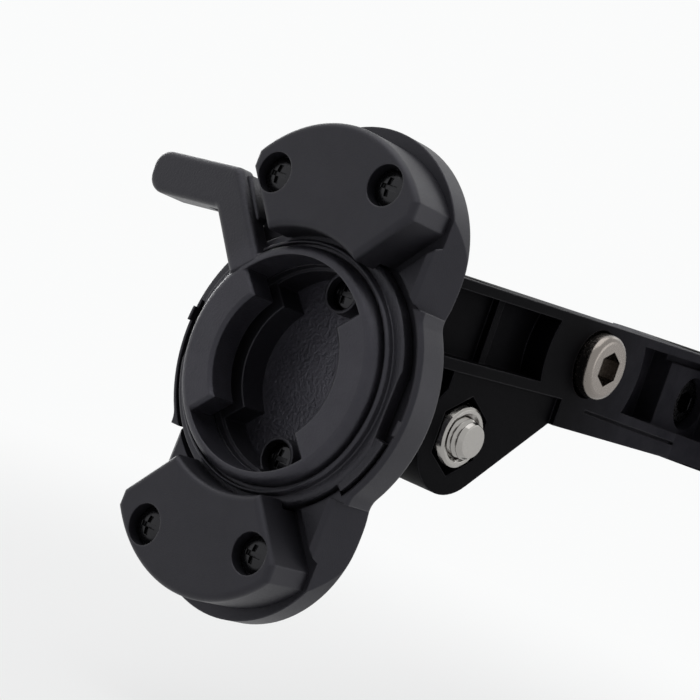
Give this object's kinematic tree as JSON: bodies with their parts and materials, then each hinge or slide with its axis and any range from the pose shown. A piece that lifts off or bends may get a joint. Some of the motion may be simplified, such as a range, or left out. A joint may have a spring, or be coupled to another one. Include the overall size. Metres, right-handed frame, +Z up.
{
  "type": "seatpost light mount",
  "caption": "Split arm that clamps round a bicycle seatpost and carries a tilting head with a bayonet socket for a lamp, locked by a lever-turned ring",
  "frame": {"origin": "on the seatpost's axis at mid height of the clamp", "axes": "+Z up along the seatpost, the head and its socket towards -Y, the hinge and the bolts along X"},
  "size_m": [0.0493, 0.1341, 0.0585],
  "materials": {
    "black_nylon": "satin moulded, fine grain",
    "black_steel": "black oxide",
    "stainless": "bright turned",
    "washer_plastic": "plain",
    "liner_rubber": "matt"
  },
  "bodies": {
    "arm": {"arm_right_half": "black_nylon", "arm_left_half": "black_nylon", "arm_screw": "stainless", "arm_nut": "stainless", "hinge_bolt": "stainless", "hinge_nut": "stainless", "friction_washers": "washer_plastic", "front_clamp_screw": "black_steel", "front_clamp_nut": "stainless", "rear_clamp_screw": "black_steel", "rear_clamp_nut": "stainless", "liner_right": "liner_rubber", "liner_left": "liner_rubber"},
    "head": {"base_plate": "black_nylon", "hinge_bracket": "black_nylon", "upper_cover": "black_nylon", "lower_cover": "black_nylon", "upper_cover_screws": "black_steel", "lower_cover_screws": "black_steel", "cup_floor_screws": "black_steel"},
    "ring": {"lock_ring": "black_nylon"}
  },
  "joints": [
    {"name": "head_tilt", "type": "hinge", "parent": "arm", "child": "head", "pos_m": [0, -0.074, -0.01035], "axis": [1, 0, 0], "range_deg": [-9, 60]},
    {"name": "ring_turn", "type": "hinge", "parent": "head", "child": "ring", "pos_m": [0, -0.10109, -0.00791], "axis": [0, -0.9972, 0.075], "range_deg": [0, 70]}
  ]
}
